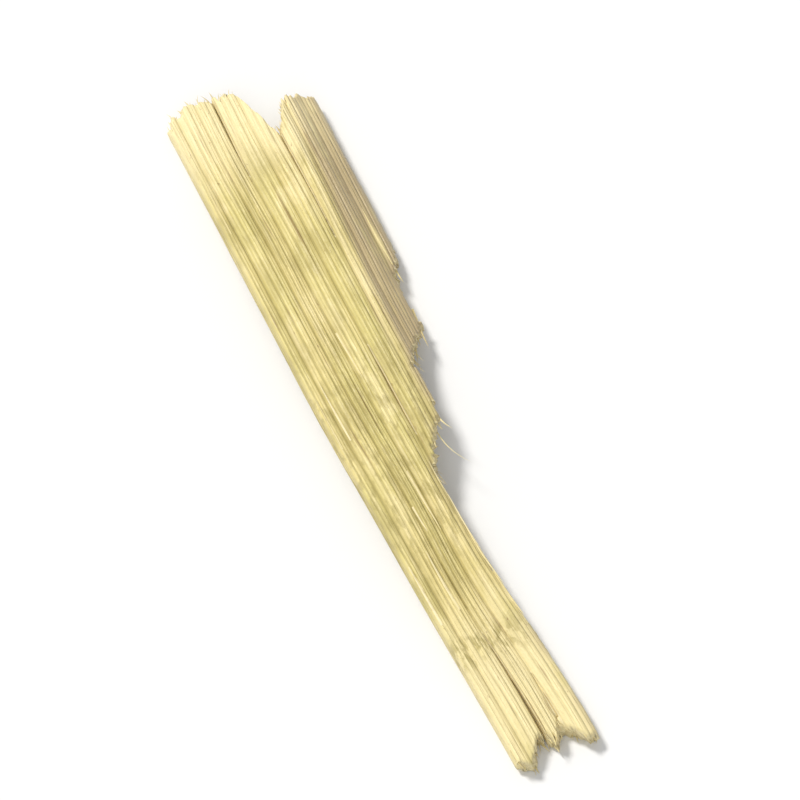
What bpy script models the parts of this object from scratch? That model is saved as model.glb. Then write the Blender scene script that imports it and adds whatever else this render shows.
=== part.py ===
"""One cut piece of dried lemongrass stalk: a ribbed strip of leaf sheath with a crease and two cut ends.

Units are metres and +Z is up. The strip lies on the plane Z = 0 with its length along X. Its broad,
forked end is at -X, its narrow end at +X, and the flap beyond the crease is on the +Y side.
A place on the strip is given as along, from the broad end, and across, from the straight margin.
"""

import math

import bmesh
import bpy
from mathutils import Matrix, Vector, noise

MM = 0.001

# The strip as it would measure if pressed flat. Its width is a whole number of quarters of a rib.
LENGTH = 31.0 * MM
RIB_PITCH = 0.78 * MM
COLUMN = RIB_PITCH / 4.0
COLUMNS = 29
BROAD_WIDTH = COLUMN * COLUMNS
ROWS = 52
BLADE = 0.70 * MM

# The torn margin comes in by steps: where each starts, where it ends and how much width it takes.
TEAR_STEPS = (
    (9.2 * MM, 10.6 * MM, 0.55 * MM),
    (12.6 * MM, 14.8 * MM, 1.25 * MM),
    (16.4 * MM, 19.2 * MM, 1.10 * MM),
)

# From the waist on, the veins fan out a little towards the narrow end.
WAIST_END = 22.0 * MM
FANNING = 0.14

# The crease runs at a slight slant to the straight margin, and the fold dies out at the narrow end.
CREASE_START = 4.2 * MM
CREASE_SLANT = 0.055
CREASE_RADIUS = 0.28 * MM
FACE_SLOPE = math.tan(math.radians(14.5))
FLAT_SLOPE = math.tan(math.radians(1.0))
FOLD_FADES_FROM = 13.0 * MM
FOLD_FADES_TO = 27.5 * MM

# The cut ends: distance across, and how far that point is cut back.
FORKED_END = (
    (0.0 * MM, 0.5 * MM),
    (0.8 * MM, 0.0 * MM),
    (2.7 * MM, 0.5 * MM),
    (3.5 * MM, 3.1 * MM),
    (4.3 * MM, 1.7 * MM),
    (5.0 * MM, 1.3 * MM),
    (5.7 * MM, 1.8 * MM),
)
NARROW_END = (
    (0.0 * MM, 0.2 * MM),
    (0.4 * MM, 0.0 * MM),
    (0.98 * MM, 1.0 * MM),
    (1.5 * MM, 0.3 * MM),
    (1.95 * MM, 0.9 * MM),
    (2.4 * MM, 0.1 * MM),
    (2.85 * MM, 0.3 * MM),
)
END_FADE = 6.0 * MM

# Veins stand up from the outer face as ribs, and the straight margin carries a thicker one.
RIB_HEIGHT = 0.14 * MM
INNER_RIB_HEIGHT = 0.03 * MM
RIB_FULLNESS = 0.7
MARGIN_RIB_HEIGHT = 0.10 * MM
MARGIN_RIB_WIDTH = 0.35 * MM

# How the strip warped as it dried.
BOW = 0.55 * MM
BOW_SHAPE = 1.4
SWAY = 0.35 * MM
RIPPLE = 0.20 * MM
RIPPLE_LENGTH = 6.5 * MM
RIPPLE_WIDTH = 2.6 * MM
RIPPLE_SEED = 4.7

# The lowest corners are pressed flat where the strip rests.
FOOT_DEPTH = 0.10 * MM


def smooth_step(value, low, high):
    """Rises from 0 at low to 1 at high, level at both ends."""
    share = min(max((value - low) / (high - low), 0.0), 1.0)
    return share * share * (3.0 - 2.0 * share)


def between(points, place):
    """Value at a place on a line of (place, value) points."""
    for (place_a, value_a), (place_b, value_b) in zip(points, points[1:]):
        if place <= place_b:
            share = max(place - place_a, 0.0) / (place_b - place_a)
            return value_a + (value_b - value_a) * share
    return points[-1][1]


def width_at(along):
    """Width of the strip before its veins fan out: broad, then torn down in steps to a waist."""
    width = BROAD_WIDTH
    for start, end, loss in TEAR_STEPS:
        width -= loss * smooth_step(along, start, end)
    return width


def slopes_at(along):
    """Rise of the broad face towards the crease, and fall of the flap beyond it."""
    fold = 1.0 - smooth_step(along, FOLD_FADES_FROM, FOLD_FADES_TO)
    face = FLAT_SLOPE + (FACE_SLOPE - FLAT_SLOPE) * fold
    flap = face * CREASE_START / (BROAD_WIDTH - CREASE_START)
    return face, flap


def ridge_height(along, across):
    """Height of the folded strip, with both margins on the surface at the broad end."""
    crease = CREASE_START - CREASE_SLANT * along
    face, flap = slopes_at(along)
    offset = across - crease
    rounded = math.hypot(offset, CREASE_RADIUS)
    return face * crease + (face - flap) / 2.0 * offset - (face + flap) / 2.0 * rounded


def slope_across(along, across):
    """Steepness across the strip at a point."""
    step = 0.05 * MM
    rise = ridge_height(along, across + step) - ridge_height(along, across - step)
    return rise / (2.0 * step)


def rib_height(across, height):
    """Rounded ribs with narrow grooves between them."""
    wave = 0.5 + 0.5 * math.cos(2.0 * math.pi * across / RIB_PITCH)
    return height * wave**RIB_FULLNESS


def cut_back(along, across):
    """The place along the strip once its ends are cut, fading out away from them."""
    forked = between(FORKED_END, across) * (1.0 - smooth_step(along, 0.0, END_FADE))
    narrow = between(NARROW_END, across) * smooth_step(along, LENGTH - END_FADE, LENGTH)
    return along + forked - narrow


def blade_point(flat, side):
    """Where a point of the flat strip lies, on the outer (side 1) or the inner (side -1) face."""
    across = flat.y
    along = cut_back(flat.x, across)
    middle = math.sin(math.pi * along / LENGTH) ** BOW_SHAPE
    ripple = noise.noise(Vector((along / RIPPLE_LENGTH, across / RIPPLE_WIDTH, RIPPLE_SEED)))
    lie = ridge_height(along, across) + (BOW + RIPPLE * ripple) * middle
    half_blade = BLADE / 2.0 * math.hypot(1.0, slope_across(along, across))
    if side > 0:
        relief = rib_height(across, RIB_HEIGHT)
        relief += MARGIN_RIB_HEIGHT * math.exp(-((across / MARGIN_RIB_WIDTH) ** 2))
    else:
        relief = rib_height(across, INNER_RIB_HEIGHT)
    height = BLADE / 2.0 - FOOT_DEPTH + lie + side * half_blade + relief
    fan = 1.0 + FANNING * smooth_step(along, WAIST_END, LENGTH)
    return Vector((along, across * fan - SWAY * middle, max(height, 0.0)))


def lay_flat_grid(mesh):
    """The strip pressed flat: a grid whose columns follow the veins, torn off beyond its margin."""
    centre = (LENGTH / 2.0, BROAD_WIDTH / 2.0, 0.0)
    place = Matrix.LocRotScale(centre, None, (LENGTH, BROAD_WIDTH, 1.0))
    bmesh.ops.create_grid(mesh, x_segments=ROWS, y_segments=COLUMNS, size=0.5, matrix=place)
    bmesh.ops.triangulate(mesh, faces=mesh.faces, quad_method="ALTERNATE")
    torn = []
    for face in mesh.faces:
        centre = face.calc_center_median()
        if centre.y > width_at(centre.x):
            torn.append(face)
    bmesh.ops.delete(mesh, geom=torn, context="FACES")
    for vertex in mesh.verts:
        width = width_at(vertex.co.x)
        if vertex.co.y > width:
            vertex.co.y = max(width, vertex.co.y - COLUMN / 2.0)


def centre_on_base(mesh):
    """Moves the mesh so that its box is centred on the Z axis and stands on Z = 0."""
    lowest = Vector(min(v.co[axis] for v in mesh.verts) for axis in range(3))
    highest = Vector(max(v.co[axis] for v in mesh.verts) for axis in range(3))
    middle = (lowest + highest) / 2.0
    bmesh.ops.translate(mesh, vec=(-middle.x, -middle.y, -lowest.z), verts=mesh.verts)


def build_strip(name, material, collection):
    """The flat grid extruded to a second face, with every vertex moved to where it lies."""
    mesh = bmesh.new()
    lay_flat_grid(mesh)
    inner = list(mesh.verts)
    raised = bmesh.ops.extrude_face_region(mesh, geom=mesh.faces[:])["geom"]
    outer = [item for item in raised if isinstance(item, bmesh.types.BMVert)]
    for vertices, side in ((inner, -1), (outer, 1)):
        for vertex in vertices:
            vertex.co = blade_point(vertex.co, side)
    centre_on_base(mesh)
    bmesh.ops.recalc_face_normals(mesh, faces=mesh.faces)
    data = bpy.data.meshes.new(name)
    mesh.to_mesh(data)
    mesh.free()
    data.materials.append(material)
    data.shade_smooth()
    data.set_sharp_from_angle(angle=math.radians(50.0))
    collection.objects.link(bpy.data.objects.new(name, data))


def make_material(name, colour, roughness):
    """Principled finish of one dried plant tissue."""
    material = bpy.data.materials.new(name)
    material.use_nodes = True
    shader = material.node_tree.nodes["Principled BSDF"]
    shader.inputs["Base Color"].default_value = (*colour, 1.0)
    shader.inputs["Roughness"].default_value = roughness
    shader.inputs["Metallic"].default_value = 0.0
    material.diffuse_color = (*colour, 1.0)
    return material


def main():
    for old in list(bpy.data.objects):
        bpy.data.objects.remove(old, do_unlink=True)
    collection = bpy.data.collections.new("lemongrass_stalk_piece")
    bpy.context.scene.collection.children.link(collection)
    dried_sheath = make_material("dried_sheath", (0.60, 0.50, 0.22), 0.62)
    build_strip("stalk_strip", dried_sheath, collection)


main()
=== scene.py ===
"""Looks of one dried, cut piece of lemongrass stalk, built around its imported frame.

A finely veined blade takes the plain strip's place. Cut fibres stand out of its two ends, peeled
threads hang along its torn margin, and thin slivers lift from its outer face. The file is laid out
as an add-on and is run as a script. Everything is in metres.
"""

import math
import random

import bmesh
import bpy
from bpy.props import FloatProperty, FloatVectorProperty, IntProperty, PointerProperty
from mathutils import Matrix, Vector, noise


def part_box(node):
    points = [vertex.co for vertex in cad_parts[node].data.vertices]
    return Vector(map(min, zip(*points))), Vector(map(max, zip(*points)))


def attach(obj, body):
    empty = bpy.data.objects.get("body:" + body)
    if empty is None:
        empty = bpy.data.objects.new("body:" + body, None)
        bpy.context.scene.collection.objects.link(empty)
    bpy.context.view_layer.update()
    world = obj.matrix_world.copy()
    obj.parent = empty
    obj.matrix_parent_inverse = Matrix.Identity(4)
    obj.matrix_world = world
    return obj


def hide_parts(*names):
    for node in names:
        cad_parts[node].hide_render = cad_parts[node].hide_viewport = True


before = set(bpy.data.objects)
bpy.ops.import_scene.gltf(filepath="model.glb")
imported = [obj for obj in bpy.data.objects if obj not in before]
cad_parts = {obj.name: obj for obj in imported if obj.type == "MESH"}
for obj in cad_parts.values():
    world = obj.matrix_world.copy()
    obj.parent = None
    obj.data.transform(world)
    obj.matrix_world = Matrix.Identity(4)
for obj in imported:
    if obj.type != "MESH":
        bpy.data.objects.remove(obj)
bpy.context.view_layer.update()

bl_info = {
    "name": "Dried lemongrass piece",
    "version": (1, 0, 0),
    "blender": (4, 5, 0),
    "location": "3D View > Sidebar > Lemongrass",
    "description": "Dresses a cut strip of dried lemongrass leaf sheath",
    "category": "Object",
}

MM = 0.001
NODE = "stalk_strip"
BODY = "root"

# The torn margin comes in by steps: where each starts, where it ends and how much width it takes.
TEAR_STEPS = (
    (9.2 * MM, 10.6 * MM, 0.55 * MM),
    (12.6 * MM, 14.8 * MM, 1.25 * MM),
    (16.4 * MM, 19.2 * MM, 1.10 * MM),
)

# The cut ends: distance across, and how far that point is cut back.
FORKED_END = (
    (0.0 * MM, 0.5 * MM),
    (0.8 * MM, 0.0 * MM),
    (2.7 * MM, 0.5 * MM),
    (3.5 * MM, 3.1 * MM),
    (4.3 * MM, 1.7 * MM),
    (5.0 * MM, 1.3 * MM),
    (5.7 * MM, 1.8 * MM),
)
NARROW_END = (
    (0.0 * MM, 0.2 * MM),
    (0.4 * MM, 0.0 * MM),
    (0.98 * MM, 1.0 * MM),
    (1.5 * MM, 0.3 * MM),
    (1.95 * MM, 0.9 * MM),
    (2.4 * MM, 0.1 * MM),
    (2.85 * MM, 0.3 * MM),
)
END_FADE = 6.0 * MM

# Cracks between veins: which groove, counted in ribs, where each starts and ends, and its opening.
CRACKS = (
    (2.5, -4.2 * MM, 4.2 * MM, 0.10 * MM),
    (4.5, -8.5 * MM, 8.5 * MM, 0.08 * MM),
    (1.5, 25.5 * MM, 36.5 * MM, 0.14 * MM),
    (2.5, 28.2 * MM, 33.8 * MM, 0.12 * MM),
    (3.5, 13.2 * MM, 17.5 * MM, 0.07 * MM),
)
CRACK_REACH = 0.3 * MM
HAIR = 0.0001 * MM

# From the waist on, the veins fan out a little towards the narrow end.
WAIST_END = 22.0 * MM
FANNING = 0.14

# The crease slants towards the straight margin, and its fold dies out at the narrow end.
CREASE_START = 4.2 * MM
CREASE_SLANT = 0.055
FACE_SLOPE = math.tan(math.radians(14.5))
FLAT_SLOPE = math.tan(math.radians(1.0))
FOLD_FADES_FROM = 13.0 * MM
FOLD_FADES_TO = 27.5 * MM

# How the strip warped as it dried, and how deep its lowest corners are pressed flat.
BOW = 0.55 * MM
BOW_SHAPE = 1.4
SWAY = 0.35 * MM
RIPPLE = 0.20 * MM
RIPPLE_LENGTH = 6.5 * MM
RIPPLE_WIDTH = 2.6 * MM
RIPPLE_SEED = 4.7
FOOT_DEPTH = 0.10 * MM

# How far in from an edge it is rounded, and what share of the thickness that takes off.
MARGIN_ROUNDING = (0.34 * MM, 0.34)
TORN_ROUNDING = (0.14 * MM, 0.16)
END_ROUNDING = (0.18 * MM, 0.14)

# Relief of the faces: a rib's roundness, the thick rib on the straight margin, and fine wrinkles.
RIB_FULLNESS = 0.7
RIB_FADE_LENGTH = 8.0 * MM
VEINLET_FADE_LENGTH = 3.5 * MM
MARGIN_RIB_HEIGHT = 0.10 * MM
MARGIN_RIB_WIDTH = 0.35 * MM
INNER_RIB_HEIGHT = 0.03 * MM
WRINKLE = 0.020 * MM
WRINKLE_LENGTH = 1.4 * MM
WRINKLE_WIDTH = 0.20 * MM

# How far the veins wander sideways and bunch up, and how near a margin they stop doing so.
MEANDER = 0.09 * MM
MEANDER_LENGTH = 5.5 * MM
MEANDER_WIDTH = 1.6 * MM
UNEVEN_PITCH = 0.20 * MM
UNEVEN_WIDTH = 1.15 * MM
MARGIN_HOLD = 0.8 * MM

# The tear: its wanderings as (distance, length along), and how far back its inner layers are peeled.
TEAR_WANDERINGS = ((0.12 * MM, 0.9 * MM), (0.08 * MM, 0.3 * MM))
TEAR_RAGGEDNESS = ((0.035 * MM, 2.4 * MM), (0.016 * MM, 0.25 * MM))
PEEL = 0.55 * MM
PEEL_REACH = 0.9 * MM

# How far in from a cut end its fibres are pushed about, and the random draw of each end.
FRAY_FADE = 1.4 * MM
FORKED_FRAY = 1.5
NARROW_FRAY = 3.5

# The blade's grid. Its columns follow the veins, and its walls are cut into bands and bulge a little.
RIBS_ACROSS = 7.25
COLUMNS_PER_RIB = 20
ROWS = 400
WALL_CUTS = 4
WALL_BULGE = 0.03 * MM
WALL_LUMP_WIDTH = 0.11 * MM
WALL_LUMP_LENGTH = 0.8 * MM

# An edge is drawn sharp where its faces meet at more than this, in degrees.
BLADE_SHARP = 72.0
FIBRE_SHARP = 80.0

# Fibres: sides, points from where one leaves the blade to its tip, and how deep in it they start.
FIBRE_SIDES = 6
FIBRE_STEPS = 5
FIBRE_ROOT = 0.6 * MM
FIBRE_LEAVES = 0.1 * MM
THREAD_ROOT = 0.8 * MM
THREAD_SPACING = 0.06 * MM
SLIVER_STEPS = 8
SLIVER_SUNK = 0.02 * MM

# Stage. Each light has its colour, the way it shines and its softness in degrees.
FLOOR_REACH = 1.0
CLIP_START = 0.01
KEY_LIGHT = ((1.0, 0.98, 0.95), (0.75, 0.40, -1.0), 14.0)
FILL_LIGHT = ((0.95, 0.98, 1.0), (-0.8, 0.5, -1.0), 40.0)
FILL_SHARE = 0.18


def smooth_step(value, low, high):
    """Rises from 0 at low to 1 at high, level at both ends."""
    share = min(max((value - low) / (high - low), 0.0), 1.0)
    return share * share * (3.0 - 2.0 * share)


def between(points, place):
    """Value at a place on a line of (place, value) points."""
    for (place_a, value_a), (place_b, value_b) in zip(points, points[1:]):
        if place <= place_b:
            share = max(place - place_a, 0.0) / (place_b - place_a)
            return value_a + (value_b - value_a) * share
    return points[-1][1]


def grain(*place):
    """Smooth noise from -1 to 1 at up to three numbers."""
    return noise.noise(Vector((place + (0.0, 0.0))[:3]))


def chance(*place):
    """A fixed random share from 0 to 1 for each whole step of up to three numbers."""
    return noise.cell(Vector((place + (0.5, 0.5))[:3]))


class Sheath:
    """The strip's form. A place on it is along, from the broad end, across, from the straight margin,
    and a share of its thickness, from 0 on the inner face to 1 on the outer face. A vein is known by
    the place across at which it would lie if it didn't wander."""

    def __init__(self, form):
        self.length = form.length
        self.rib_pitch = form.rib_pitch
        self.rib_height = form.rib_height
        self.blade = form.blade
        self.crease_radius = form.crease_radius
        self.veinlet = form.rib_pitch / form.veinlets_per_rib
        self.veinlet_height = form.veinlet_height
        self.fray = form.fray
        self.broad_width = form.rib_pitch * RIBS_ACROSS
        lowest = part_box(NODE)[0]
        self.start = Vector((lowest.x, lowest.y + SWAY, lowest.z))

    def width(self, along):
        """Width before the veins fan out: broad, then torn down in steps to a waist."""
        width = self.broad_width
        for start, end, loss in TEAR_STEPS:
            width -= loss * smooth_step(along, start, end)
        return width

    def torn_width(self, along, share=1.0):
        """The width with its tear running along the veinlets. Each layer of the thickness tears apart
        at a place of its own, the inner ones sooner."""
        (far, far_length), (near, near_length) = TEAR_WANDERINGS
        narrowing = (self.width(along - 0.4 * MM) - self.width(along + 0.4 * MM)) / (0.2 * MM)
        wander = far * grain(along / far_length, 2.5, share * 2.0)
        wander += near * grain(along / near_length, 9.5, share * 3.0)
        width = self.width(along + PEEL * (1.0 - share)) + wander * min(narrowing, 1.0)
        snapped = min(round(width / self.veinlet) * self.veinlet, self.broad_width)
        (loose, loose_length), (rough, rough_length) = TEAR_RAGGEDNESS
        ragged = loose * grain(along / loose_length, 6.5, share * 1.5)
        return snapped + ragged + rough * grain(along / rough_length, 4.5, share * 3.0)

    def crease(self, along):
        """Where the crease crosses the strip."""
        return CREASE_START - CREASE_SLANT * along

    def ridge(self, along, across):
        """Height of the folded strip, with both margins on the surface at the broad end."""
        crease = self.crease(along)
        fold = 1.0 - smooth_step(along, FOLD_FADES_FROM, FOLD_FADES_TO)
        face = FLAT_SLOPE + (FACE_SLOPE - FLAT_SLOPE) * fold
        flap = face * CREASE_START / (self.broad_width - CREASE_START)
        offset = across - crease
        rounded = math.hypot(offset, self.crease_radius)
        return face * crease + (face - flap) / 2.0 * offset - (face + flap) / 2.0 * rounded

    def steepness(self, along, across):
        """Slope across the strip at a place."""
        step = 0.05 * MM
        rise = self.ridge(along, across + step) - self.ridge(along, across - step)
        return rise / (2.0 * step)

    def frayed(self, across, share, seed):
        """How far one veinlet's fibres are broken back at a cut end."""
        veinlet = math.floor(across / self.veinlet) + 0.5
        bundle = chance(veinlet, seed) * share + chance(veinlet, seed + 7.0) * (1.0 - share)
        single = chance(veinlet, seed, round(share * 5.0) + 0.5)
        return self.fray * (0.4 * bundle + 0.6 * bundle**4 + 0.5 * single**3)

    def cut_back(self, along, across, share):
        """The place along the strip once its ends are cut and frayed."""
        left = self.length - along
        forked = between(FORKED_END, across) * (1.0 - smooth_step(along, 0.0, END_FADE))
        forked += self.frayed(across, share, FORKED_FRAY) * (1.0 - smooth_step(along, 0.0, FRAY_FADE))
        narrow = between(NARROW_END, across) * (1.0 - smooth_step(left, 0.0, END_FADE))
        narrow += self.frayed(across, share, NARROW_FRAY) * (1.0 - smooth_step(left, 0.0, FRAY_FADE))
        return along + forked - narrow

    def parted(self, along, across):
        """How far a place is pushed sideways by the cracks near it."""
        push = 0.0
        for ribs, start, end, opening in CRACKS:
            if start < along < end:
                offset = across - ribs * self.rib_pitch
                gape = opening / 2.0 * math.sin(math.pi * (along - start) / (end - start))
                push += math.copysign(gape, offset) * math.exp(-abs(offset) / CRACK_REACH)
        return push

    def wander(self, along, vein):
        """How far a vein has wandered sideways. The ones on the margins of the broad end don't."""
        free = smooth_step(min(vein, self.broad_width - vein), 0.0, MARGIN_HOLD)
        meander = MEANDER * grain(along / MEANDER_LENGTH, vein / MEANDER_WIDTH, 8.5)
        return free * (meander + UNEVEN_PITCH * grain(vein / UNEVEN_WIDTH, 3.5))

    def rounding(self, along, across):
        """Share of the thickness that is rounded off near an edge."""
        edges = (
            (across, MARGIN_ROUNDING),
            (self.torn_width(along) - across, TORN_ROUNDING),
            (min(along, self.length - along), END_ROUNDING),
        )
        lost = 0.0
        for distance, (reach, depth) in edges:
            inwards = 1.0 - min(max(distance / reach, 0.0), 1.0)
            lost = max(lost, depth * (1.0 - math.sqrt(1.0 - inwards * inwards)))
        return lost

    def outer_relief(self, along, vein):
        """Ribs, finer veins and wrinkles on the outer face."""
        ribs = vein / self.rib_pitch
        wave = 0.5 + 0.5 * math.cos(2.0 * math.pi * ribs)
        strength = 0.74 + 0.65 * grain(along / RIB_FADE_LENGTH, round(ribs) * 3.1, 1.5)
        relief = self.rib_height * wave**RIB_FULLNESS * min(max(strength, 0.25), 1.0)
        unevenness = 0.75 + 0.9 * grain(along / VEINLET_FADE_LENGTH, round(3.0 * ribs) * 1.7)
        relief += self.veinlet_height * abs(math.cos(3.0 * math.pi * ribs)) * unevenness
        relief += WRINKLE * grain(along / WRINKLE_LENGTH, vein / WRINKLE_WIDTH, 6.5)
        return relief + MARGIN_RIB_HEIGHT * math.exp(-((vein / MARGIN_RIB_WIDTH) ** 2))

    def inner_relief(self, along, vein):
        """Faint ribs and wrinkles on the inner face."""
        wave = 0.5 + 0.5 * math.cos(2.0 * math.pi * vein / self.rib_pitch)
        wrinkle = grain(along / WRINKLE_LENGTH, vein / WRINKLE_WIDTH, 1.5)
        return INNER_RIB_HEIGHT * wave + WRINKLE * wrinkle

    def point(self, flat_along, vein, share):
        """Where a vein of the flat strip lies in the frame, at a place along and in the thickness."""
        margin = self.torn_width(flat_along)
        near = 1.0 - (margin - vein) / PEEL_REACH
        if near > 0.0 and share < 1.0:
            vein += (self.torn_width(flat_along, share) - margin) * near
        along = self.cut_back(flat_along, vein, share)
        across = vein + self.wander(along, vein)
        middle = max(math.sin(math.pi * along / self.length), 0.0) ** BOW_SHAPE
        ripple = grain(along / RIPPLE_LENGTH, across / RIPPLE_WIDTH, RIPPLE_SEED)
        lie = self.ridge(along, across) + (BOW + RIPPLE * ripple) * middle
        half_blade = self.blade / 2.0 * math.hypot(1.0, self.steepness(along, across))
        lost = self.rounding(flat_along, vein)
        share = 0.25 * lost + share * (1.0 - 1.25 * lost)
        relief = self.outer_relief(along, vein) * share + self.inner_relief(along, vein) * (1.0 - share)
        height = self.blade / 2.0 - FOOT_DEPTH + lie + (2.0 * share - 1.0) * half_blade + relief
        fan = 1.0 + FANNING * smooth_step(along, WAIST_END, self.length)
        sideways = (across + self.parted(flat_along, vein)) * fan - SWAY * middle
        return self.start + Vector((along, sideways, max(height, 0.0)))


class Value:
    """A node's output that takes part in Python sums. Each operation adds a Math node."""

    def __init__(self, finish, socket):
        self.finish = finish
        self.socket = socket

    def maths(self, operation, *terms):
        return self.finish.add("ShaderNodeMath", {"operation": operation}, dict(enumerate(terms)))

    def __add__(self, other):
        return self.maths("ADD", self, other)

    def __radd__(self, other):
        return self.maths("ADD", other, self)

    def __sub__(self, other):
        return self.maths("SUBTRACT", self, other)

    def __rsub__(self, other):
        return self.maths("SUBTRACT", other, self)

    def __mul__(self, other):
        return self.maths("MULTIPLY", self, other)

    def __rmul__(self, other):
        return self.maths("MULTIPLY", other, self)

    def __pow__(self, other):
        return self.maths("POWER", self, other)


class Finish:
    """A material whose nodes are added one call at a time."""

    def __init__(self, name, colour):
        self.material = bpy.data.materials.new(name)
        self.material.use_nodes = True
        self.material.diffuse_color = (*colour, 1.0)
        self.tree = self.material.node_tree
        self.tree.nodes.clear()

    def add(self, kind, settings=None, inputs=None, output=0):
        """A node of a kind, with its settings made first and its sockets set or linked."""
        node = self.tree.nodes.new(kind)
        for name, value in (settings or {}).items():
            setattr(node, name, value)
        for name, value in (inputs or {}).items():
            if isinstance(value, Value):
                self.tree.links.new(value.socket, node.inputs[name])
            else:
                node.inputs[name].default_value = value
        return Value(self, node.outputs[output])

    def crest(self, value, sharpness):
        """1 wherever a value is whole and 0 halfway between, narrower the sharper it is."""
        turn = self.add("ShaderNodeMath", {"operation": "COSINE"}, {0: value * (2.0 * math.pi)})
        return (0.5 + 0.5 * turn) ** sharpness

    def whole(self, value):
        """The whole number nearest to a value."""
        return self.add("ShaderNodeMath", {"operation": "ROUND"}, {0: value})

    def smooth(self, value, low, high):
        """Rises from 0 at low to 1 at high, and falls where low is above high."""
        inputs = {"Value": value, "From Min": min(low, high), "From Max": max(low, high)}
        inputs["To Min"], inputs["To Max"] = (0.0, 1.0) if low < high else (1.0, 0.0)
        return self.add("ShaderNodeMapRange", {"interpolation_type": "SMOOTHSTEP"}, inputs)

    def mix(self, share, colour_a, colour_b):
        """A colour between two, by a share from 0 to 1."""
        settings = {"data_type": "RGBA", "clamp_factor": True}
        inputs = {0: share, 6: paint(colour_a), 7: paint(colour_b)}
        return self.add("ShaderNodeMix", settings, inputs, 2)

    def join(self, x, y, z):
        """A vector of three numbers."""
        return self.add("ShaderNodeCombineXYZ", None, {0: x, 1: y, 2: z})

    def split(self, name):
        """The three numbers of a vector attribute."""
        settings = {"attribute_name": name, "attribute_type": "GEOMETRY"}
        vector = self.add("ShaderNodeAttribute", settings, None, "Vector")
        first = self.add("ShaderNodeSeparateXYZ", None, {0: vector}, 0)
        outputs = first.socket.node.outputs
        return first, Value(self, outputs[1]), Value(self, outputs[2])

    def clouds(self, place, detail=3.0, roughness=0.55):
        """Soft noise from 0 to 1 at a place."""
        inputs = {"Vector": place, "Scale": 1.0, "Detail": detail, "Roughness": roughness}
        return self.add("ShaderNodeTexNoise", None, inputs)

    def bump(self, height, distance):
        """A normal from a height, whose full step stands a distance off the surface."""
        inputs = {"Height": height, "Distance": distance, "Strength": 1.0}
        return self.add("ShaderNodeBump", None, inputs)

    def surface(self, colour, roughness, normal, specular=0.5):
        """Ends the material in a Principled shader."""
        inputs = {"Base Color": colour, "Roughness": roughness, "Specular IOR Level": specular}
        if normal is not None:
            inputs["Normal"] = normal
        shader = self.add("ShaderNodeBsdfPrincipled", None, inputs)
        output = self.tree.nodes.new("ShaderNodeOutputMaterial")
        self.tree.links.new(shader.socket, output.inputs["Surface"])
        return self.material


def paint(colour):
    """A colour for a socket: a link as it is, and three numbers with their alpha."""
    return colour if isinstance(colour, Value) else (*colour, 1.0)


def colour_property(name, description, default):
    """A colour that a user may change."""
    limits = {"subtype": "COLOR", "size": 3, "min": 0.0, "max": 1.0}
    return FloatVectorProperty(name=name, description=description, default=default, **limits)


def length_property(name, description, default):
    """A length that a user may change."""
    limits = {"unit": "LENGTH", "precision": 6, "min": 0.0}
    return FloatProperty(name=name, description=description, default=default, **limits)


def angle_property(name, description, degrees):
    """An angle that a user may change."""
    default = math.radians(degrees)
    return FloatProperty(name=name, description=description, default=default, subtype="ANGLE")


def strength_property(name, description, default):
    """A light's strength that a user may change."""
    return FloatProperty(name=name, description=description, default=default, min=0.0)


def count_property(name, description, default, lowest=0):
    """A whole number that a user may change."""
    return IntProperty(name=name, description=description, default=default, min=lowest)


class LemongrassForm(bpy.types.PropertyGroup):
    """Sizes of the strip and of what stands out of it."""

    length: length_property("Length", "Length of the strip before its ends are cut", 31.0 * MM)
    rib_pitch: length_property("Rib pitch", "Distance from one main vein to the next", 0.78 * MM)
    rib_height: length_property("Rib height", "How far a main vein stands up", 0.14 * MM)
    blade: length_property("Blade", "Thickness of the sheath", 0.70 * MM)
    crease_radius: length_property("Crease radius", "Rounding of the fold", 0.28 * MM)
    veinlet_height: length_property("Veinlet height", "How far a fine vein stands up", 0.036 * MM)
    fray: length_property("Fray", "How deep the fibres are broken back at a cut", 0.34 * MM)
    fibre: length_property("Fibre", "Thickness of one fibre at its root", 0.060 * MM)
    veinlets_per_rib: count_property("Veinlets", "Fine veins to each main vein", 6, 1)
    end_fibres: count_property("End fibres", "Fibres that stand out of the broad end", 60)
    slivers: count_property("Slivers", "Slivers lifting from the outer face", 16)
    seed: count_property("Seed", "Start of the random draws", 11)


class LemongrassColours(bpy.types.PropertyGroup):
    """Colours of the dried tissue."""

    straw: colour_property("Straw", "Main colour of the outer face", (0.78, 0.65, 0.265))
    green: colour_property("Green", "Greener streaks along the veins", (0.67, 0.58, 0.20))
    # Cream also paints the highlight along the crease.
    cream: colour_property("Cream", "Pale streaks and the bleached ends", (0.89, 0.76, 0.41))
    groove: colour_property("Groove", "Floor of the grooves between ribs", (0.42, 0.345, 0.115))
    # Tan is also painted over the flap beyond the crease as painted shade.
    tan: colour_property("Tan", "Flap beyond the crease", (0.47, 0.365, 0.205))
    brown: colour_property("Brown", "Age streaks and specks", (0.24, 0.13, 0.05))
    inner: colour_property("Inner face", "Silky inner face", (0.77, 0.67, 0.40))
    fibre: colour_property("Fibre", "Cut and peeled fibres", (0.86, 0.75, 0.44))


class LemongrassStage(bpy.types.PropertyGroup):
    """Floor, light and camera."""

    floor: colour_property("Floor", "Colour of the floor", (0.84, 0.84, 0.84))
    sky: strength_property("Sky", "Strength of the light from all round", 0.50)
    key: strength_property("Key", "Strength of the main light", 2.62)
    azimuth: angle_property("Azimuth", "Camera's turn round the strip", 64.6)
    elevation: angle_property("Elevation", "Camera's height over the floor", 58.0)
    lens: FloatProperty(name="Lens", description="Focal length", unit="CAMERA", min=1.0, default=240.0)
    distance: length_property("Distance", "From the strip's middle to the camera", 0.196)


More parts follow.
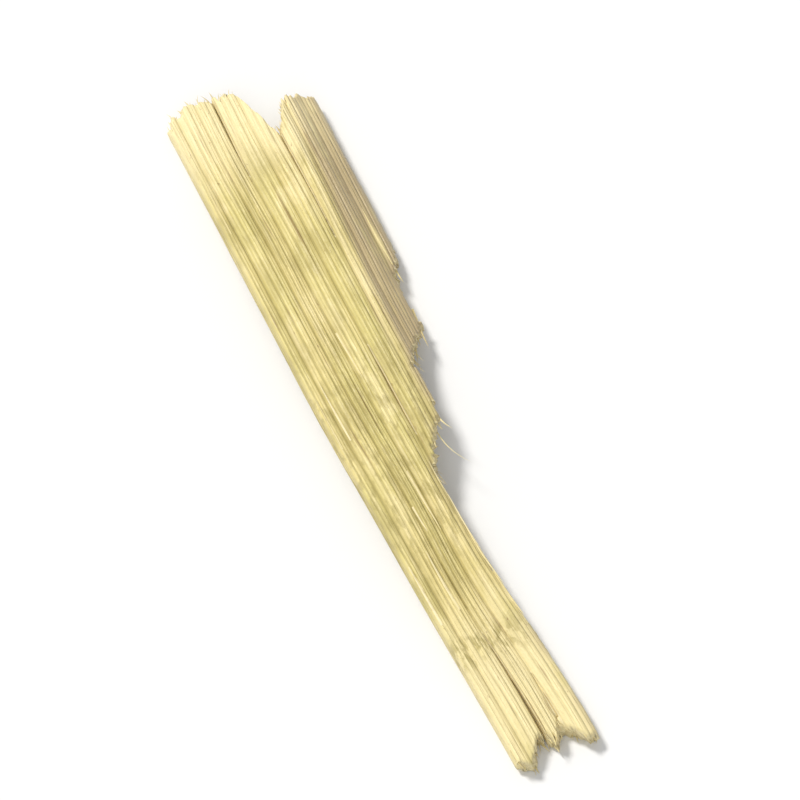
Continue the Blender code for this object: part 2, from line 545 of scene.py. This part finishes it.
def dried_sheath(colours, form):
    """Outer face, inner face and cut walls of the blade, painted along its veins. Its attributes and
    the lengths here are in millimetres."""
    finish = Finish("dried_sheath", colours.straw)
    along, across, share = finish.split("sheath_place")
    torn, wall, fold = finish.split("sheath_edge")

    # The way across goes on over the margin and down its wall, so that no pattern stops at the edge.
    over = across - (1.0 - share) * (form.blade / MM)
    ribs = over * (MM / form.rib_pitch)
    veinlets = ribs * float(form.veinlets_per_rib)

    def pattern(along_scale, across_scale, layer, detail=3.0):
        """Soft noise drawn out along the veins. Each layer has a pattern of its own."""
        place = finish.join(along * along_scale, over * across_scale, layer)
        return finish.clouds(place, detail)

    def reach(start, full, fade, end):
        """1 along the strip from full to fade, falling to 0 at start and end."""
        return finish.smooth(along, start, full) * finish.smooth(along, end, fade)

    groove = finish.crest(ribs + 0.5, 3.0)
    seam = 0.6 * finish.crest(ribs * 3.0 + 0.5, 4.0) + 0.5 * finish.crest(veinlets, 3.0)
    rib_place = finish.join(along * 0.11, finish.whole(ribs) * 5.3, 3.0)
    vein_place = finish.join(along * 0.30, finish.whole(veinlets + 0.5) * 3.7, 8.0)
    rib_tone = finish.clouds(rib_place)
    vein_tone = finish.clouds(vein_place)
    threads = finish.clouds(finish.join(along * 0.7, across * 22.0, share * 6.0))
    pores = finish.clouds(finish.join(along * 7.0, across * 26.0, share * 6.0), 2.0)
    blotch = pattern(0.5, 0.9, 15.0)
    shade = pattern(0.42, 1.1, 51.0)
    patches = pattern(1.5, 4.5, 41.0, 4.0)
    age = finish.smooth(pattern(0.22, 5.5, 21.0), 0.62, 0.74)
    specks = finish.smooth(pattern(2.4, 7.0, 31.0, 2.0), 0.68, 0.78)

    # Outer face: tones of the ribs and veins, grooves, seams and threads, then broader shade.
    outer = finish.mix(finish.smooth(rib_tone, 0.42, 0.62) * 0.8, colours.straw, colours.green)
    outer = finish.mix(finish.smooth(vein_tone, 0.52, 0.72) * 0.65, outer, colours.cream)
    outer = finish.mix(finish.smooth(vein_tone, 0.46, 0.30) * 0.45, outer, colours.groove)
    outer = finish.mix(groove * (0.05 + 0.5 * blotch), outer, colours.groove)
    outer = finish.mix(seam * (0.20 + 0.75 * threads), outer, colours.groove)
    outer = finish.mix(finish.smooth(threads, 0.46, 0.25) * 0.45, outer, colours.cream)
    outer = finish.mix(finish.smooth(shade, 0.46, 0.64) * 0.45, outer, colours.groove)
    outer = finish.mix(finish.smooth(shade, 0.46, 0.32) * 0.40, outer, colours.cream)

    # Mottling at the waist, bleached ends, and a bruise across the veins before the narrow end.
    waist = reach(11.0, 15.5, 20.0, 25.0)
    outer = finish.mix(waist * finish.smooth(patches, 0.48, 0.62) * 0.6, outer, colours.groove)
    broad = finish.smooth(along, 5.5, 1.0)
    narrow = finish.smooth(along, 23.0, 27.5)
    bleach = (broad * 0.95 + narrow * 0.80) * finish.smooth(blotch, 0.20, 0.45)
    outer = finish.mix(bleach, outer, colours.cream)
    bruise = reach(24.9, 26.0, 26.2, 27.2) * finish.smooth(over, 3.6, 1.6)
    bruise = bruise * finish.smooth(patches, 0.46, 0.58)
    outer = finish.mix(bruise * 0.8, outer, colours.groove)

    # Painted shade darkens the flap beyond the crease with tan, where it faces away from the light, and
    # a painted highlight lies pale along the crease.
    # Painted shade: tan over the flap where it faces away from the light, less of it at the broad end.
    flap = finish.smooth(fold, 0.05, 0.55) * finish.smooth(along, 19.0, 13.5)
    flap = flap * (0.85 - 0.35 * broad - 0.5 * finish.smooth(vein_tone, 0.5, 0.7))
    outer = finish.mix(flap, outer, colours.tan)
    # Painted highlight: a pale cream line along the ridge of the crease.
    crease = finish.smooth(fold * fold, 0.025, 0.0) * finish.smooth(along, 18.0, 12.0)
    outer = finish.mix(crease * finish.smooth(vein_tone, 0.35, 0.55) * 0.55, outer, colours.cream)

    # Age streaks and specks, and tanned tissue beside the tear.
    outer = finish.mix(age * 0.55 + specks * 0.6, outer, colours.brown)
    frayed = finish.smooth(torn, 0.40, 0.0) * finish.smooth(blotch, 0.30, 0.55)
    outer = finish.mix(frayed * 0.5, outer, colours.tan)

    inner = finish.mix(finish.smooth(vein_tone, 0.4, 0.7) * 0.6, colours.inner, colours.cream)
    inner = finish.mix(groove * 0.35 + age * 0.5 + seam * 0.2, inner, colours.tan)
    faces = finish.mix(finish.smooth(share, 0.05, 0.30), inner, outer)

    # Cut and torn walls: bare fibres, with a darker bundle under each rib.
    bundles = finish.crest(across * (MM / form.rib_pitch), 1.0) * finish.crest(share - 0.6, 2.0)
    cut = finish.mix(finish.smooth(bundles, 0.2, 0.8) * 0.6, colours.fibre, colours.tan)
    cut = finish.mix(finish.smooth(threads, 0.46, 0.72) * 0.55, cut, colours.tan)
    cut = finish.mix(specks * 0.5, cut, colours.brown)
    cut_wall = wall * finish.smooth(across, 0.04, 0.16)
    colour = finish.mix(cut_wall * 0.85, faces, cut)

    roughness = 0.42 + 0.20 * groove + 0.25 * (threads - 0.5) + 0.25 * cut_wall
    height = 0.6 * threads + 0.4 * vein_tone + 0.35 * pores - 0.65 * seam
    return finish.surface(colour, roughness, finish.bump(height, 0.045 * MM))


def cut_fibre(colours):
    """Bare fibres: cream to tan from one to the next, darker in streaks along each."""
    finish = Finish("cut_fibre", colours.fibre)
    tone, turn, reach = finish.split("fibre_tone")
    colour = finish.mix(tone, colours.fibre, colours.straw)
    colour = finish.mix(finish.smooth(tone, 0.7, 1.0) * 0.6, colour, colours.tan)
    streak = finish.clouds(finish.join(reach * 1.5, turn * 2.0, tone * 40.0), 2.0)
    colour = finish.mix(finish.smooth(streak, 0.48, 0.72) * 0.45, colour, colours.tan)
    return finish.surface(colour, 0.55 + 0.2 * (streak - 0.5), finish.bump(streak, 0.01 * MM))


def pale_floor(stage):
    """Plain pale floor with the faintest unevenness of tone."""
    finish = Finish("pale_floor", stage.floor)
    place = finish.add("ShaderNodeTexCoord", None, None, "Object")
    blotch = finish.clouds(place, 2.0)
    warmer = tuple(channel * 0.985 for channel in stage.floor)
    return finish.surface(finish.mix(blotch, stage.floor, warmer), 0.7, None, 0.2)


def finish_piece(name, mesh, material, sharp_degrees):
    """Makes an object of a bmesh, shades it, and lets it ride on the part."""
    bmesh.ops.recalc_face_normals(mesh, faces=mesh.faces)
    data = bpy.data.meshes.new(name)
    mesh.to_mesh(data)
    mesh.free()
    data.materials.append(material)
    data.shade_smooth()
    data.set_sharp_from_angle(angle=math.radians(sharp_degrees))
    piece = bpy.data.objects.new(name, data)
    bpy.context.scene.collection.objects.link(piece)
    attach(piece, BODY)
    return piece


def finish_fibres(name, mesh, colours):
    """Finishes a piece of bare fibres, in the colours that the panel gives them now."""
    finish_piece(name, mesh, cut_fibre(colours), FIBRE_SHARP)


def lay_flat_grid(mesh, sheath):
    """The strip pressed flat, torn off beyond its margin."""
    columns = round(RIBS_ACROSS * COLUMNS_PER_RIB)
    column = sheath.broad_width / columns
    centre = (sheath.length / 2.0, sheath.broad_width / 2.0, 0.0)
    place = Matrix.LocRotScale(centre, None, (sheath.length, sheath.broad_width, 1.0))
    bmesh.ops.create_grid(mesh, x_segments=ROWS, y_segments=columns, size=0.5, matrix=place)
    gone = []
    for face in mesh.faces:
        middle = face.calc_center_median()
        if middle.y > sheath.torn_width(middle.x):
            gone.append(face)
    bmesh.ops.delete(mesh, geom=gone, context="FACES")
    for vertex in mesh.verts:
        width = sheath.torn_width(vertex.co.x)
        if vertex.co.y > width:
            vertex.co.y = max(width, vertex.co.y - column / 2.0)


def slit_cracks(mesh, sheath):
    """Splits the flat grid along its cracks, and sets the two lips of each a hair apart."""
    for ribs, start, end, _ in CRACKS:
        line = ribs * sheath.rib_pitch
        along_line = set()
        for vertex in mesh.verts:
            if abs(vertex.co.y - line) < HAIR and start < vertex.co.x < end:
                along_line.add(vertex)
        slit = [edge for edge in mesh.edges if along_line.issuperset(edge.verts)]
        bmesh.ops.split_edges(mesh, edges=slit)
        for vertex in mesh.verts:
            if abs(vertex.co.y - line) < HAIR and vertex.is_boundary:
                sides = [face.calc_center_median().y - line for face in vertex.link_faces]
                if min(sides) > 0.0 or max(sides) < 0.0:
                    vertex.co.y += math.copysign(HAIR, sides[0])


def raise_thickness(mesh):
    """Gives the flat grid a thickness of 1, with its walls cut into bands. Z is then the share of
    the thickness."""
    raised = bmesh.ops.extrude_face_region(mesh, geom=mesh.faces[:])["geom"]
    outer = [item for item in raised if isinstance(item, bmesh.types.BMVert)]
    bmesh.ops.translate(mesh, vec=(0.0, 0.0, 1.0), verts=outer)
    upright = [edge for edge in mesh.edges if abs(edge.verts[0].co.z - edge.verts[1].co.z) > 0.5]
    bmesh.ops.subdivide_edges(mesh, edges=upright, cuts=WALL_CUTS, use_grid_fill=True)


def wall_vertices(mesh):
    """Vertices of the faces that stand up from the flat grid."""
    band = 1.0 / (WALL_CUTS + 1)
    found = set()
    for face in mesh.faces:
        heights = [vertex.co.z for vertex in face.verts]
        if max(heights) - min(heights) > band / 2.0:
            found.update(face.verts)
    return found


class LEMONGRASS_OT_blade(bpy.types.Operator):
    """Model the ribbed blade and put it in the plain strip's place"""

    bl_idname = "lemongrass.blade"
    bl_label = "Blade"

    def execute(self, context):
        form = context.scene.lemongrass_form
        sheath = Sheath(form)
        mesh = bmesh.new()
        lay_flat_grid(mesh, sheath)
        slit_cracks(mesh, sheath)
        raise_thickness(mesh)
        place = mesh.verts.layers.float_vector.new("sheath_place")
        edge = mesh.verts.layers.float_vector.new("sheath_edge")
        on_wall = wall_vertices(mesh)
        mesh.normal_update()
        for vertex in mesh.verts:
            along, vein, share = vertex.co
            wall = vertex in on_wall
            to_tear = sheath.width(along) - vein
            past_crease = vein - sheath.crease(along)
            vertex[place] = (along / MM, vein / MM, share)
            vertex[edge] = (to_tear / MM, float(wall), past_crease / MM)
            lies = sheath.point(along, vein, share)
            if wall:
                lumps = grain(vein / WALL_LUMP_WIDTH, share * 4.0, along / WALL_LUMP_LENGTH)
                bulge = WALL_BULGE * (1.0 + lumps) * math.sin(math.pi * share)
                lies += Vector((vertex.normal.x, vertex.normal.y, 0.0)) * bulge
            vertex.co = lies
        tissue = dried_sheath(context.scene.lemongrass_colours, form)
        blade = finish_piece("sheath_blade", mesh, tissue, BLADE_SHARP)
        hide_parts(NODE)
        return {"FINISHED"}


def add_fibre(mesh, tone_layer, tone, points, radii, flatness=1.0):
    """A tapering fibre drawn through its points, from a capped ring to a tip."""
    turned = Matrix.Rotation(math.pi / 2.0, 4, "Y") @ Matrix.Diagonal((flatness, 1.0, 1.0, 1.0))
    circle = {"segments": FIBRE_SIDES, "radius": radii[0], "cap_ends": True}
    circle["matrix"] = Matrix.Translation(points[0]) @ turned
    ring = bmesh.ops.create_circle(mesh, **circle)["verts"]
    for turn, vertex in enumerate(ring):
        vertex[tone_layer] = (tone, float(turn), 0.0)
    edges = list({edge for vertex in ring for edge in vertex.link_edges})
    for step in range(1, len(points)):
        drawn = bmesh.ops.extrude_edge_only(mesh, edges=edges)["geom"]
        ring = [item for item in drawn if isinstance(item, bmesh.types.BMVert)]
        edges = [item for item in drawn if isinstance(item, bmesh.types.BMEdge)]
        slimmer = radii[step] / radii[step - 1]
        for vertex in ring:
            vertex.co = points[step] + (vertex.co - points[step - 1]) * slimmer
            turn = vertex[tone_layer].y
            vertex[tone_layer] = (tone, turn, float(step))
    bmesh.ops.pointmerge(mesh, verts=ring, merge_co=points[-1])


def fibre_path(root, ahead, tip, bend, floor):
    """Points from a root, through the place where the fibre leaves the blade, to a bent tip."""
    points = [root, ahead]
    for step in range(1, FIBRE_STEPS + 1):
        share = step / FIBRE_STEPS
        point = ahead.lerp(tip, share) + bend * (share * share)
        point.z = max(point.z, floor)
        points.append(point)
    return points


def tapered(thick, points):
    """Radii along a fibre, from its full thickness to a thin tip."""
    last = len(points) - 1
    return [thick * (1.0 - 0.85 * (step / last) ** 1.5) for step in range(len(points))]


class LEMONGRASS_OT_end_fibres(bpy.types.Operator):
    """Stand cut fibres out of both ends of the blade"""

    bl_idname = "lemongrass.end_fibres"
    bl_label = "End fibres"

    def execute(self, context):
        form = context.scene.lemongrass_form
        sheath = Sheath(form)
        draw = random.Random(form.seed)
        mesh = bmesh.new()
        tone_layer = mesh.verts.layers.float_vector.new("fibre_tone")
        narrow_width = sheath.torn_width(sheath.length)
        ends = ((0.0, -1.0, sheath.broad_width), (sheath.length, 1.0, narrow_width))
        for end, outwards, width in ends:
            count = round(form.end_fibres * width / sheath.broad_width)
            for number in range(count):
                vein = width * (number + draw.uniform(0.15, 0.85)) / count
                share = draw.uniform(0.15, 0.92)
                root = sheath.point(end - outwards * FIBRE_ROOT, vein, share)
                ahead = sheath.point(end - outwards * FIBRE_LEAVES, vein, share)
                reach = draw.uniform(0.06, 0.28) * MM + 0.35 * MM * draw.random() ** 4
                bend = Vector((0.0, draw.uniform(-0.5, 0.5), draw.uniform(-0.4, 0.4))) * reach
                tip = ahead + (ahead - root).normalized() * (reach + FIBRE_LEAVES)
                points = fibre_path(root, ahead, tip, bend, form.fibre)
                thick = form.fibre / 2.0 * (0.6 + 1.1 * draw.random() ** 2)
                add_fibre(mesh, tone_layer, draw.random(), points, tapered(thick, points), 0.7)
        finish_fibres("end_fibres", mesh, context.scene.lemongrass_colours)
        return {"FINISHED"}


class LEMONGRASS_OT_torn_threads(bpy.types.Operator):
    """Leave peeled threads where the margin was torn"""

    bl_idname = "lemongrass.torn_threads"
    bl_label = "Torn threads"

    def execute(self, context):
        form = context.scene.lemongrass_form
        sheath = Sheath(form)
        draw = random.Random(form.seed + 1)
        mesh = bmesh.new()
        tone_layer = mesh.verts.layers.float_vector.new("fibre_tone")
        for start, end, loss in TEAR_STEPS:
            threads = round(loss / THREAD_SPACING)
            for number in range(threads):
                along = start + (end - start) * (number + draw.uniform(0.1, 0.9)) / threads
                vein = sheath.torn_width(along) - draw.uniform(0.02, 0.09) * MM
                share = draw.uniform(0.12, 0.9)
                root = sheath.point(along - THREAD_ROOT, vein, share)
                ahead = sheath.point(along, vein, share)
                reach = draw.uniform(0.15, 0.6) * MM + 1.5 * MM * draw.random() ** 6
                bend = Vector((0.0, draw.uniform(-0.05, 0.35), draw.uniform(-0.3, 0.3))) * reach
                tip = ahead + (ahead - root).normalized() * reach
                points = fibre_path(root, ahead, tip, bend, form.fibre)
                thick = form.fibre / 2.0 * (0.7 + 1.6 * draw.random() ** 2)
                add_fibre(mesh, tone_layer, draw.random(), points, tapered(thick, points), 0.6)
        finish_fibres("torn_threads", mesh, context.scene.lemongrass_colours)
        return {"FINISHED"}


class LEMONGRASS_OT_slivers(bpy.types.Operator):
    """Lift thin slivers off the outer face and off the long margins"""

    bl_idname = "lemongrass.slivers"
    bl_label = "Slivers"

    def execute(self, context):
        form = context.scene.lemongrass_form
        sheath = Sheath(form)
        draw = random.Random(form.seed + 2)
        mesh = bmesh.new()
        tone_layer = mesh.verts.layers.float_vector.new("fibre_tone")
        for _ in range(form.slivers):
            along = draw.uniform(4.0 * MM, 27.0 * MM)
            vein = sheath.width(along) * draw.choice((0.04, draw.uniform(0.1, 0.9), 0.97))
            length = draw.uniform(0.8, 3.2) * MM * draw.choice((-1.0, 1.0))
            points = []
            for step in range(SLIVER_STEPS + 1):
                share = step / SLIVER_STEPS
                aside = 0.02 * length * share
                rise = 0.05 * abs(length) * share**2.5 - SLIVER_SUNK * (1.0 - share)
                lies = sheath.point(along + length * share, vein, 1.0)
                points.append(lies + Vector((0.0, aside, rise)))
            thick = form.fibre * draw.uniform(0.5, 1.2)
            add_fibre(mesh, tone_layer, draw.random() * 0.8, points, tapered(thick, points), 0.4)
        finish_fibres("slivers", mesh, context.scene.lemongrass_colours)
        return {"FINISHED"}


class LEMONGRASS_OT_stage(bpy.types.Operator):
    """Set up the floor, the studio light and the camera"""

    bl_idname = "lemongrass.stage"
    bl_label = "Stage"

    def execute(self, context):
        stage = context.scene.lemongrass_stage
        add_floor(stage)
        add_sky(stage.sky)
        add_sun("key", stage.key, *KEY_LIGHT)
        add_sun("fill", stage.key * FILL_SHARE, *FILL_LIGHT)
        add_camera(stage)
        context.scene.view_settings.view_transform = "Standard"
        return {"FINISHED"}


def add_floor(stage):
    """A wide, flat floor, which is part of the stage and not of the piece."""
    mesh = bmesh.new()
    bmesh.ops.create_grid(mesh, x_segments=1, y_segments=1, size=FLOOR_REACH)
    data = bpy.data.meshes.new("floor")
    mesh.to_mesh(data)
    mesh.free()
    data.materials.append(pale_floor(stage))
    floor = bpy.data.objects.new("floor", data)
    bpy.context.scene.collection.objects.link(floor)


def add_sky(strength):
    """Even white light from all round."""
    world = bpy.data.worlds.new("soft_sky")
    world.use_nodes = True
    sky = world.node_tree.nodes["Background"]
    sky.inputs["Color"].default_value = (1.0, 1.0, 1.0, 1.0)
    sky.inputs["Strength"].default_value = strength
    bpy.context.scene.world = world


def add_sun(name, strength, colour, towards, softness_degrees):
    """A distant light that shines in a direction, with its disc as wide as its softness."""
    lamp = bpy.data.lights.new(name, "SUN")
    lamp.energy = strength
    lamp.color = colour
    lamp.angle = math.radians(softness_degrees)
    sun = bpy.data.objects.new(name, lamp)
    sun.rotation_mode = "QUATERNION"
    sun.rotation_quaternion = Vector(towards).to_track_quat("-Z", "Y")
    bpy.context.scene.collection.objects.link(sun)


def add_camera(stage):
    """A camera that looks at the middle of the strip from the photograph's side."""
    low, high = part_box(NODE)
    centre = (low + high) / 2.0
    turn = stage.azimuth
    rise = stage.elevation
    level = math.cos(rise)
    back = Vector((math.sin(turn) * level, -math.cos(turn) * level, math.sin(rise)))
    camera = bpy.data.objects.new("camera", bpy.data.cameras.new("camera"))
    camera.data.lens = stage.lens
    camera.data.clip_start = CLIP_START
    camera.rotation_mode = "QUATERNION"
    camera.location = centre + back * stage.distance
    camera.rotation_quaternion = (-back).to_track_quat("-Z", "Y")
    bpy.context.scene.collection.objects.link(camera)
    bpy.context.scene.camera = camera


class LEMONGRASS_PT_sidebar(bpy.types.Panel):
    """Steps and settings of the lemongrass piece"""

    bl_label = "Lemongrass piece"
    bl_space_type = "VIEW_3D"
    bl_region_type = "UI"
    bl_category = "Lemongrass"

    def draw(self, context):
        scene = context.scene
        for operator in OPERATORS:
            self.layout.operator(operator.bl_idname)
        for group in (scene.lemongrass_form, scene.lemongrass_colours, scene.lemongrass_stage):
            for name in group.__annotations__:
                self.layout.prop(group, name)


OPERATORS = (
    LEMONGRASS_OT_blade,
    LEMONGRASS_OT_end_fibres,
    LEMONGRASS_OT_torn_threads,
    LEMONGRASS_OT_slivers,
    LEMONGRASS_OT_stage,
)
CLASSES = (LemongrassForm, LemongrassColours, LemongrassStage, *OPERATORS, LEMONGRASS_PT_sidebar)


def register():
    for kind in CLASSES:
        bpy.utils.register_class(kind)
    bpy.types.Scene.lemongrass_form = PointerProperty(type=LemongrassForm)
    bpy.types.Scene.lemongrass_colours = PointerProperty(type=LemongrassColours)
    bpy.types.Scene.lemongrass_stage = PointerProperty(type=LemongrassStage)


def unregister():
    del bpy.types.Scene.lemongrass_stage
    del bpy.types.Scene.lemongrass_colours
    del bpy.types.Scene.lemongrass_form
    for kind in reversed(CLASSES):
        bpy.utils.unregister_class(kind)


def main():
    register()
    bpy.ops.lemongrass.stage()
    bpy.ops.lemongrass.blade()
    bpy.ops.lemongrass.end_fibres()
    bpy.ops.lemongrass.torn_threads()
    bpy.ops.lemongrass.slivers()


if __name__ == "__main__":
    main()
